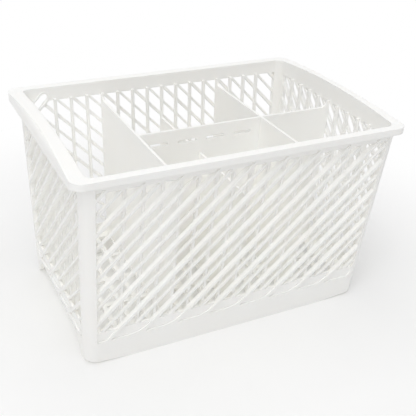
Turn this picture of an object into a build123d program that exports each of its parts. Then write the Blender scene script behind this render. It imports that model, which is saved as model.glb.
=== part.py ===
"""Dishwasher cutlery basket, moulded in one piece.

A tapering tub on a raised, perforated floor. Its four walls are two-layer lattices: upright ribs
inside, and diagonal ribs outside that are wide and flush with the skin by turns with narrow and sunk.
Plain sheets divide the tub into compartments, and a lip with rolled, arched ends runs round the rim,
wider at the left end than at the right.
X runs along the length, the front wall faces -Y, and the feet stand on Z = 0. Sizes are in millimetres.
"""
import os
from math import floor, pi, sqrt, tan

from build123d import *

os.makedirs("parts", exist_ok=True)

# Overall sizes of the tub, outside the walls
rim_height = 152.4
rim_length = 233.4
rim_depth = 157.2
foot_length = 229.6
foot_depth = 134.4
corner_radius = 9.0

# Walls and their lattice
wall = 3.4
pitch = 12.7
rib_width = 2.0
rib_depth = 2.6
rib_drop = 9.5
wide_diagonal = 2.4
narrow_diagonal = 1.8
diagonal_shift = 8.2
pocket_recess = 1.2
pocket_bend = 24.0
pocket_drop = 7.6
opening_drop = 10.6
sill_rise = 8.5
side_post = 8.2
end_post = 10.8

# Raised floor and the open ends under it
floor_height = 20.0
floor_thickness = 2.5
floor_bar = 3.8
floor_row = 30.2
end_gap_height = 16.8
end_gap_width = 90.0
end_gap_flare = 12.0
end_gap_radius = 6.0
heel_rise = 2.5
heel_length = 32.0

# Lip round the rim
arch_rise = 4.2
side_lip = 3.0
side_lip_height = 4.6
left_lip = 6.8
right_lip = 4.2
end_lip_height = 6.0
end_lip_skin = 2.4
end_lip_root = 0.3
end_roll = 7.0
lip_radius = 8.0

# Dividers
divider = 2.0
divider_drop = 14.2
divider_bend = 4.0
divider_tuck = 0.5
low_divider_drop = 35.8
cross_pitches = 4
slot_length = 15.0
slot_height = 2.4
slot_drop = 10.0
slot_spacing = 23.0
slot_count = 4

# Slanted hanging slot in the back wall
hook_width = 6.2
hook_travel = 12.0
hook_border = 1.3
hook_proud = 0.8
hook_inset = 15.4
hook_drop = 12.2
hook_angle = 45.0

# Overshoot of the cutting shapes, and how near two places are to count as one
over = 2.0
near = 0.01

# Sizes that follow from those above
end_lean = (rim_length - foot_length) / 2 / rim_height
side_lean = (rim_depth - foot_depth) / 2 / rim_height
end_slant = sqrt(1 + end_lean**2)
side_slant = sqrt(1 + side_lean**2)
crown = rim_height + arch_rise
rib_top = rim_height - rib_drop
opening_top = rim_height - opening_drop
sill = floor_height + sill_rise
floor_under = floor_height - floor_thickness
floor_middle = floor_height - floor_thickness / 2
divider_top = rim_height - divider_drop
divider_peak = rib_top - divider_tuck
low_divider_top = rim_height - low_divider_drop
cross_reach = cross_pitches * pitch
lip_length = rim_length + left_lip + right_lip
lip_middle = (right_lip - left_lip) / 2
lip_depth = rim_depth + 2 * side_lip
side_under = rim_height - side_lip_height
end_under = rim_height - end_lip_height
arch_reach = lip_depth / 2 - lip_radius


def half_sizes(height, inset=0.0):
    """Half length and half depth of the tub at a height, moved in square to the walls."""
    half_length = foot_length / 2 + end_lean * height - inset * end_slant
    half_depth = foot_depth / 2 + side_lean * height - inset * side_slant
    return half_length, half_depth


def tub_block(low, high, inset=0.0):
    """Solid tub between two heights, with flat leaning sides and rounded corners."""
    low_x, low_y = half_sizes(low, inset)
    high_x, high_y = half_sizes(high, inset)
    with BuildPart() as block:
        with BuildSketch(Plane.XZ):
            Polygon((-low_x, low), (low_x, low), (high_x, high), (-high_x, high))
        extrude(amount=2 * high_y, both=True)
        with BuildSketch(Plane.YZ):
            Polygon((-low_y, low), (low_y, low), (high_y, high), (-high_y, high))
        extrude(amount=2 * high_x, both=True, mode=Mode.INTERSECT)
        fillet(edges().group_by(Axis.Z)[1], corner_radius - inset)
    return block.part


def wall_plane(outward, foot_reach, lean):
    """Plane on the skin of one wall, with its Y up the wall and its Z outward."""
    along = Vector(0, 0, 1).cross(outward)
    up = outward * lean + Vector(0, 0, 1)
    return Plane(origin=outward * foot_reach, x_dir=along, z_dir=along.cross(up))


def field(low, high, half_foot, spread):
    """Four-sided field of a wall between two heights, widening as the wall does."""
    half_low = half_foot + spread * low
    half_high = half_foot + spread * high
    Polygon((-half_low, low), (half_low, low), (half_high, high), (-half_high, high))


def take_diagonals(width, shift, half_width, high):
    """Take slanting bars out of a field, one bar in every two pitches."""
    half_bar = width / sqrt(2)
    first = -floor((half_width + high) / (2 * pitch)) - 1
    last = floor(half_width / (2 * pitch)) + 1
    for step in range(first, last + 1):
        left = shift + 2 * pitch * step - half_bar
        right = left + 2 * half_bar
        Polygon((left, 0), (right, 0), (right + high, high), (left + high, high), mode=Mode.SUBTRACT)


def blunt_corners(corners, foot, half_width):
    """Lower corners of the pockets where a wide diagonal starts, with room for the bend."""
    first = foot + diagonal_shift - wide_diagonal / sqrt(2)
    room = half_width - pocket_bend * tan(pi / 8) - over
    chosen = []
    for corner in corners:
        steps = (corner.X - first) / (2 * pitch)
        if abs(corner.X) < room and abs(steps - round(steps)) < near:
            chosen.append(corner)
    return chosen


# Lip: a ring with rolled ends, its lower edge deeper at the ends than at the sides
with BuildPart() as lip:
    with BuildSketch(Plane.XY.offset(floor_height)):
        RectangleRounded(lip_length, lip_depth, lip_radius)
    extrude(amount=crown + over - floor_height)
    with BuildSketch(Plane.XZ):
        with Locations((0, (crown + over) / 2)):
            Rectangle(lip_length, crown + over)
        fillet(vertices().group_by(Axis.Y)[-1], end_roll)
    extrude(amount=lip_depth, both=True, mode=Mode.INTERSECT)
    with BuildSketch(Plane.YZ):
        Polygon(
            (-lip_depth, 0),
            (lip_depth, 0),
            (lip_depth, side_under),
            (rim_depth / 2, side_under),
            (arch_reach, end_under),
            (-arch_reach, end_under),
            (-rim_depth / 2, side_under),
            (-lip_depth, side_under),
        )
    extrude(amount=lip_length, both=True, mode=Mode.SUBTRACT)

with BuildPart() as basket:
    # Plain tub and lip, hollow above the floor and below it
    add(tub_block(0, crown + over))
    add(lip.part.moved(Location((lip_middle, 0, 0))))
    add(tub_block(floor_height, crown + 2 * over, wall), mode=Mode.SUBTRACT, clean=False)
    add(tub_block(-over, floor_under, wall), mode=Mode.SUBTRACT, clean=False)

    # Rim trimmed level along the sides and arched at the ends
    with BuildSketch(Plane.YZ):
        with BuildLine():
            arch = ThreePointArc((-arch_reach, rim_height), (0, crown), (arch_reach, rim_height))
            Polyline(arch @ 1, (lip_depth, rim_height), (lip_depth, 2 * crown), (0, 2 * crown))
            Polyline((0, 2 * crown), (-lip_depth, 2 * crown), (-lip_depth, rim_height), arch @ 0)
        make_face()
    extrude(amount=lip_length, both=True, mode=Mode.SUBTRACT, clean=False)

    # Hollow under each rolled end of the lip
    reach = arch_reach - lip_radius
    shoulder = arch_rise * (1 - (reach / arch_reach) ** 2)
    for end, end_lip in ((-1, left_lip), (1, right_lip)):
        gap = end_lip - end_lip_skin - end_lip_root
        with BuildSketch(Plane.YZ.offset(end * (rim_length / 2 + end_lip_root + gap / 2))):
            with BuildLine():
                roof = ThreePointArc(
                    (-reach, rim_height + shoulder - end_lip_skin),
                    (0, crown - end_lip_skin),
                    (reach, rim_height + shoulder - end_lip_skin),
                )
                Polyline(roof @ 1, (reach, divider_top), (-reach, divider_top), roof @ 0)
            make_face()
        extrude(amount=gap / 2, both=True, mode=Mode.SUBTRACT, clean=False)

    # Open gaps under the floor at both ends, leaving a foot at each corner
    with BuildSketch(Plane.YZ):
        half_gap = end_gap_width / 2
        Polygon(
            (-half_gap - end_gap_flare, 0),
            (half_gap + end_gap_flare, 0),
            (half_gap, end_gap_height),
            (-half_gap, end_gap_height),
        )
        fillet(vertices().group_by(Axis.Y)[-1], end_gap_radius)
    extrude(amount=lip_length, both=True, mode=Mode.SUBTRACT, clean=False)

    # Lower edge rising a little towards the corners
    for end in (-1, 1):
        with BuildSketch(Plane.XZ):
            heel_start = end * (foot_length / 2 - heel_length)
            heel_end = end * (foot_length / 2 + over)
            Polygon((heel_start, 0), (heel_end, 0), (heel_end, heel_rise))
        extrude(amount=lip_depth, both=True, mode=Mode.SUBTRACT, clean=False)

    # Lattice walls: sunk pockets between the wide diagonals, openings beside every diagonal, upright ribs
    for outward in (Vector(0, -1, 0), Vector(1, 0, 0), Vector(0, 1, 0), Vector(-1, 0, 0)):
        is_side = outward.X == 0
        lean = side_lean if is_side else end_lean
        spread = end_lean if is_side else side_lean
        slant = side_slant if is_side else end_slant
        half_foot = foot_length / 2 - side_post if is_side else foot_depth / 2 - end_post
        skin = wall_plane(outward, foot_depth / 2 if is_side else foot_length / 2, lean)
        pocket_top = rim_height - pocket_drop if is_side else (opening_top + end_under) / 2
        half_top = half_foot + spread * rim_height
        with BuildSketch(skin.offset(over)):
            field(floor_height * slant, pocket_top * slant, half_foot, spread)
            take_diagonals(wide_diagonal, diagonal_shift, half_top, rim_height)
            foot_points = vertices().group_by(Axis.Y)[0]
            fillet(blunt_corners(foot_points, floor_height * slant, half_foot), pocket_bend)
        extrude(amount=-over - pocket_recess, mode=Mode.SUBTRACT, clean=False)
        with BuildSketch(skin.offset(over)):
            field(sill * slant, opening_top * slant, half_foot, spread)
            take_diagonals(wide_diagonal, diagonal_shift, half_top, rim_height)
            take_diagonals(narrow_diagonal, diagonal_shift + pitch, half_top, rim_height)
        extrude(amount=-2 * over - wall, mode=Mode.SUBTRACT, clean=False)
        rib_margin = pitch if is_side else rib_width
        rib_count = 2 * floor((half_foot - rib_margin) / pitch) + 1
        rib_length = (rib_top - floor_middle) * slant
        with BuildSketch(skin.offset(-wall)):
            with Locations((0, floor_middle * slant + rib_length / 2)):
                with GridLocations(pitch, pitch, rib_count, 1):
                    Rectangle(rib_width, rib_length)
        extrude(amount=-rib_depth, clean=False)

    # Floor holes, with a bar under every divider
    with BuildSketch(Plane.XY.offset(floor_under - over)):
        floor_length, floor_depth = half_sizes(floor_height, wall + rib_depth)
        columns = 2 * floor((floor_length - floor_bar) / pitch)
        rows = 2 * floor(floor_depth / floor_row)
        with GridLocations(pitch, floor_row, columns, rows):
            Rectangle(pitch - floor_bar, floor_row - floor_bar)
    extrude(amount=floor_thickness + 2 * over, mode=Mode.SUBTRACT, clean=False)

    # Two full cross dividers, curving up to the rib tops at the walls
    middle_of_rib = wall + rib_depth / 2
    foot_x, foot_y = half_sizes(floor_middle, middle_of_rib)
    high_x, high_y = half_sizes(divider_peak, middle_of_rib)
    face_x, face_y = half_sizes(divider_top, wall + rib_depth)
    for place in (-cross_reach, cross_reach):
        with BuildSketch(Plane.YZ.offset(place)):
            with BuildLine():
                Polyline(
                    (0, floor_middle), (foot_y, floor_middle), (high_y, divider_peak), (face_y, divider_peak),
                    (face_y, divider_top), (0, divider_top), close=True,
                )
            make_face()
            mirror(about=Plane.YZ)
            inner_corners = vertices().filter_by_position(Axis.Y, divider_top - near, divider_top + near)
            fillet(inner_corners, divider_bend)
        extrude(amount=divider / 2, both=True, clean=False)

    # Low cross divider between them
    low_y = half_sizes(low_divider_top, middle_of_rib)[1]
    with BuildSketch(Plane.YZ):
        Polygon(
            (-foot_y, floor_middle),
            (foot_y, floor_middle),
            (low_y, low_divider_top),
            (-low_y, low_divider_top),
        )
    extrude(amount=divider / 2, both=True, clean=False)

    # Lengthwise divider from the left cross divider to the right end wall, with a row of slots
    with BuildSketch(Plane.XZ):
        with BuildLine():
            Polyline(
                (-cross_reach, floor_middle), (foot_x, floor_middle), (high_x, divider_peak),
                (face_x, divider_peak), (face_x, divider_top), (-cross_reach, divider_top), close=True,
            )
        make_face()
        inner_corners = vertices().filter_by_position(Axis.Y, divider_top - near, divider_top + near)
        fillet(inner_corners.sort_by(Axis.X)[-1], divider_bend)
        with Locations((0, divider_top - slot_drop)):
            with GridLocations(slot_spacing, slot_spacing, slot_count, 1):
                SlotOverall(slot_length, slot_height, mode=Mode.SUBTRACT)
    extrude(amount=divider / 2, both=True, clean=False)

    # Slanted hanging slot with a raised border, in the back wall beside the left corner
    back = wall_plane(Vector(0, 1, 0), foot_depth / 2, side_lean)
    hook_place = (rim_length / 2 - hook_inset, (rim_height - hook_drop) * side_slant)
    with BuildSketch(back.offset(-wall - hook_proud)):
        with Locations(hook_place):
            SlotCenterToCenter(hook_travel, hook_width + 2 * hook_border, rotation=-hook_angle)
    extrude(amount=wall + hook_proud - pocket_recess / 2, clean=False)
    with BuildSketch(back.offset(over)):
        with Locations(hook_place):
            SlotCenterToCenter(hook_travel, hook_width, rotation=-hook_angle)
    extrude(amount=-2 * over - wall, mode=Mode.SUBTRACT)

basket.part.label = "basket"
export_step(basket.part, "parts/basket.step")
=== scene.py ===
"""Looks of the dishwasher cutlery basket: white moulded plastic on a plain white floor."""
import math

import bpy
from mathutils import Matrix, Vector

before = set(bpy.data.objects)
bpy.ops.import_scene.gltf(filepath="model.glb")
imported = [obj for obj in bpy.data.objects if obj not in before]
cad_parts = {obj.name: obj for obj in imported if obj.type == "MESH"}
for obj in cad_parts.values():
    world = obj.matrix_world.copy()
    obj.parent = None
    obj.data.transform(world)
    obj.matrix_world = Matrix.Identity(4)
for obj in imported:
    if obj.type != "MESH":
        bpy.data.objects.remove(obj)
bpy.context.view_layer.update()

MILLIMETRE = 0.001

# Photograph's frame and viewpoint, in pixels, degrees and metres
IMAGE_SIZE = 416
FOCAL_PIXELS = 684.2
OPTICAL_CENTRE = (180.0, 219.0)
VIEW_AZIMUTH = -26.44
VIEW_ELEVATION = 31.20
VIEW_ROLL = 2.65
VIEW_DISTANCE = 0.5370
LOOK_POINT = Vector((-0.0141, 0.0, 0.0610))

# Camera's sensor in millimetres, and its nearest visible distance in metres
SENSOR_WIDTH = 36.0
CLIP_START = 0.01

# Plastic: colours, sizes of its patterns, and how light meets it
COOL_WHITE = "#fefefc"
WARM_WHITE = "#fdfcf9"
CLOUD_SIZE = 45 * MILLIMETRE
GRAIN_SIZE = 0.9 * MILLIMETRE
GRAIN_HEIGHT = 0.05 * MILLIMETRE
GRAIN_STRENGTH = 0.12
EDGE_RADIUS = 0.6 * MILLIMETRE
ROUGHNESS_RANGE = (0.36, 0.48)
PLASTIC_IOR = 1.49
MILKINESS = 0.2
MILKY_DEPTH = 2.0 * MILLIMETRE
MILKY_TINT = (1.0, 0.95, 0.9)

# Floor, in metres: the shadow shows up to the first distance and has faded at the second
FLOOR_SIZE = 12.0
FLOOR_WHITE = "#fafafa"
SHADOW_FADE = (0.13, 0.36)

# Studio light: strength of the surroundings, then each lamp's name, place, size and power
PURE_WHITE = "#ffffff"
STUDIO_LIGHT = 0.44
DIFFUSE_BOUNCES = 12
LAMP_TARGET = Vector((0, 0, 0.08))
LAMPS = (
    ("overhead_softbox", Vector((-0.10, 0.00, 2.10)), 2.0, 16.0),
    ("front_softbox", Vector((-1.00, -1.00, 1.75)), 1.5, 15.0),
)


def linear(hex_code):
    """Linear colour of an sRGB hex value."""
    channels = [int(hex_code[start:start + 2], 16) / 255 for start in (1, 3, 5)]
    curve = [c / 12.92 if c <= 0.04045 else ((c + 0.055) / 1.055) ** 2.4 for c in channels]
    return (*curve, 1.0)


def add_node(tree, kind, inputs=None, **settings):
    """Add a node, set its properties, and fill or link its inputs."""
    node = tree.nodes.new(kind)
    for name, value in settings.items():
        setattr(node, name, value)
    for name, value in (inputs or {}).items():
        if isinstance(value, bpy.types.NodeSocket):
            tree.links.new(value, node.inputs[name])
        else:
            node.inputs[name].default_value = value
    return node


def moulded_polypropylene():
    """White injection-moulded polypropylene.

    The plastic is slightly waxy and lets a little light through its thin ribs. The mould was finely
    sparked, which leaves a satin grain, and the melt cooled unevenly, which leaves faint clouds of
    warmer and cooler white.
    """
    material = bpy.data.materials.new("white_moulded_polypropylene")
    material.use_nodes = True
    tree = material.node_tree
    shader = tree.nodes["Principled BSDF"]
    place = add_node(tree, "ShaderNodeTexCoord").outputs["Object"]

    # Clouds tint the white
    clouds = add_node(
        tree,
        "ShaderNodeTexNoise",
        {"Vector": place, "Scale": 1 / CLOUD_SIZE, "Detail": 3.0, "Roughness": 0.5},
    )
    tint = add_node(tree, "ShaderNodeValToRGB", {"Fac": clouds.outputs["Fac"]})
    warm, cool = tint.color_ramp.elements
    warm.position = 0.3
    warm.color = linear(WARM_WHITE)
    cool.position = 0.7
    cool.color = linear(COOL_WHITE)
    tree.links.new(tint.outputs["Color"], shader.inputs["Base Color"])

    # Satin grain of the mould, drawn coarser than it is so that it shows, on softened rib edges
    grain = add_node(
        tree,
        "ShaderNodeTexNoise",
        {"Vector": place, "Scale": 1 / GRAIN_SIZE, "Detail": 2.0, "Roughness": 0.6},
    )
    soft_edge = add_node(tree, "ShaderNodeBevel", {"Radius": EDGE_RADIUS}, samples=6)
    bump = add_node(
        tree,
        "ShaderNodeBump",
        {
            "Height": grain.outputs["Fac"],
            "Strength": GRAIN_STRENGTH,
            "Distance": GRAIN_HEIGHT,
            "Normal": soft_edge.outputs["Normal"],
        },
    )
    tree.links.new(bump.outputs["Normal"], shader.inputs["Normal"])

    # The clouds are also a little glossier or duller
    smoothest, roughest = ROUGHNESS_RANGE
    sheen = add_node(
        tree,
        "ShaderNodeMapRange",
        {"Value": clouds.outputs["Fac"], "To Min": smoothest, "To Max": roughest},
    )
    tree.links.new(sheen.outputs["Result"], shader.inputs["Roughness"])

    shader.inputs["IOR"].default_value = PLASTIC_IOR
    shader.inputs["Subsurface Weight"].default_value = MILKINESS
    shader.inputs["Subsurface Radius"].default_value = MILKY_TINT
    shader.inputs["Subsurface Scale"].default_value = MILKY_DEPTH
    return material


def seen_rays(tree):
    """Factor that is 1 for what the camera sees, straight or in gloss, and 0 for light on the object."""
    ray = add_node(tree, "ShaderNodeLightPath").outputs
    direct = add_node(
        tree,
        "ShaderNodeMath",
        {0: ray["Is Camera Ray"], 1: ray["Is Glossy Ray"]},
        operation="MAXIMUM",
    )
    return add_node(
        tree,
        "ShaderNodeMath",
        {0: direct.outputs["Value"], 1: ray["Is Transmission Ray"]},
        operation="MAXIMUM",
    ).outputs["Value"]


def white_floor():
    """Matt white studio paper that keeps the soft shadow and fades to white away from the basket."""
    material = bpy.data.materials.new("matt_white_studio_paper")
    material.use_nodes = True
    tree = material.node_tree
    tree.nodes.clear()
    place = add_node(tree, "ShaderNodeTexCoord").outputs["Object"]
    distance = add_node(tree, "ShaderNodeVectorMath", {0: place}, operation="LENGTH")
    fade_start, fade_end = SHADOW_FADE
    fade = add_node(
        tree,
        "ShaderNodeMapRange",
        {"Value": distance.outputs["Value"], "From Min": fade_start, "From Max": fade_end},
        interpolation_type="SMOOTHSTEP",
    )
    white = add_node(
        tree,
        "ShaderNodeMath",
        {0: fade.outputs["Result"], 1: seen_rays(tree)},
        operation="MULTIPLY",
    )
    paper = add_node(tree, "ShaderNodeBsdfDiffuse", {"Color": linear(FLOOR_WHITE)})
    glow = add_node(tree, "ShaderNodeEmission", {"Color": linear(PURE_WHITE), "Strength": 1.0})
    mixed = add_node(
        tree,
        "ShaderNodeMixShader",
        {0: white.outputs["Value"], 1: paper.outputs["BSDF"], 2: glow.outputs["Emission"]},
    )
    add_node(tree, "ShaderNodeOutputMaterial", {"Surface": mixed.outputs["Shader"]})
    return material


def lay_floor():
    """Wide level floor under the feet."""
    bpy.ops.object.select_all(action="DESELECT")
    bpy.ops.mesh.primitive_plane_add(size=FLOOR_SIZE, location=(0, 0, 0))
    floor = bpy.context.object
    floor.name = "studio_floor"
    floor.data.materials.append(white_floor())


def surround_with_white():
    """Surroundings that look white and light the object at less than half that strength."""
    world = bpy.data.worlds.new("white_studio")
    world.use_nodes = True
    bpy.context.scene.world = world
    tree = world.node_tree
    tree.nodes.clear()
    light = add_node(
        tree, "ShaderNodeBackground", {"Color": linear(PURE_WHITE), "Strength": STUDIO_LIGHT}
    )
    wall = add_node(tree, "ShaderNodeBackground", {"Color": linear(PURE_WHITE), "Strength": 1.0})
    mixed = add_node(
        tree,
        "ShaderNodeMixShader",
        {0: seen_rays(tree), 1: light.outputs["Background"], 2: wall.outputs["Background"]},
    )
    add_node(tree, "ShaderNodeOutputWorld", {"Surface": mixed.outputs["Shader"]})


def hang_lamps():
    """Large soft lamp overhead and a smaller one high in front, to the left."""
    for name, place, size, power in LAMPS:
        lamp = bpy.data.lights.new(name, "AREA")
        lamp.size = size
        lamp.energy = power
        holder = bpy.data.objects.new(name, lamp)
        holder.location = place
        holder.rotation_euler = (LAMP_TARGET - place).to_track_quat("-Z", "Y").to_euler()
        bpy.context.collection.objects.link(holder)
    # White walls pass light to each other many times before it fades
    bpy.context.scene.cycles.diffuse_bounces = DIFFUSE_BOUNCES


def place_camera():
    """Camera at the photograph's viewpoint, shifted because the photograph is cropped off centre."""
    azimuth, elevation, roll = (math.radians(a) for a in (VIEW_AZIMUTH, VIEW_ELEVATION, VIEW_ROLL))
    backward = Vector((
        math.sin(azimuth) * math.cos(elevation),
        -math.cos(azimuth) * math.cos(elevation),
        math.sin(elevation),
    ))
    level = Vector((math.cos(azimuth), math.sin(azimuth), 0))
    upright = backward.cross(level)
    right = level * math.cos(roll) + upright * math.sin(roll)
    up = upright * math.cos(roll) - level * math.sin(roll)
    turn = Matrix((right, up, backward)).transposed().to_4x4()
    centre_x, centre_y = OPTICAL_CENTRE
    camera = bpy.data.cameras.new("photo_camera")
    camera.sensor_width = SENSOR_WIDTH
    camera.lens = SENSOR_WIDTH * FOCAL_PIXELS / IMAGE_SIZE
    camera.shift_x = 0.5 - centre_x / IMAGE_SIZE
    camera.shift_y = centre_y / IMAGE_SIZE - 0.5
    camera.clip_start = CLIP_START
    holder = bpy.data.objects.new("photo_camera", camera)
    holder.matrix_world = Matrix.Translation(LOOK_POINT + backward * VIEW_DISTANCE) @ turn
    bpy.context.collection.objects.link(holder)
    bpy.context.scene.camera = holder


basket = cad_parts["basket"]
basket.data.materials.clear()
basket.data.materials.append(moulded_polypropylene())
lay_floor()
surround_with_white()
hang_lamps()
place_camera()
bpy.context.scene.view_settings.view_transform = "Standard"
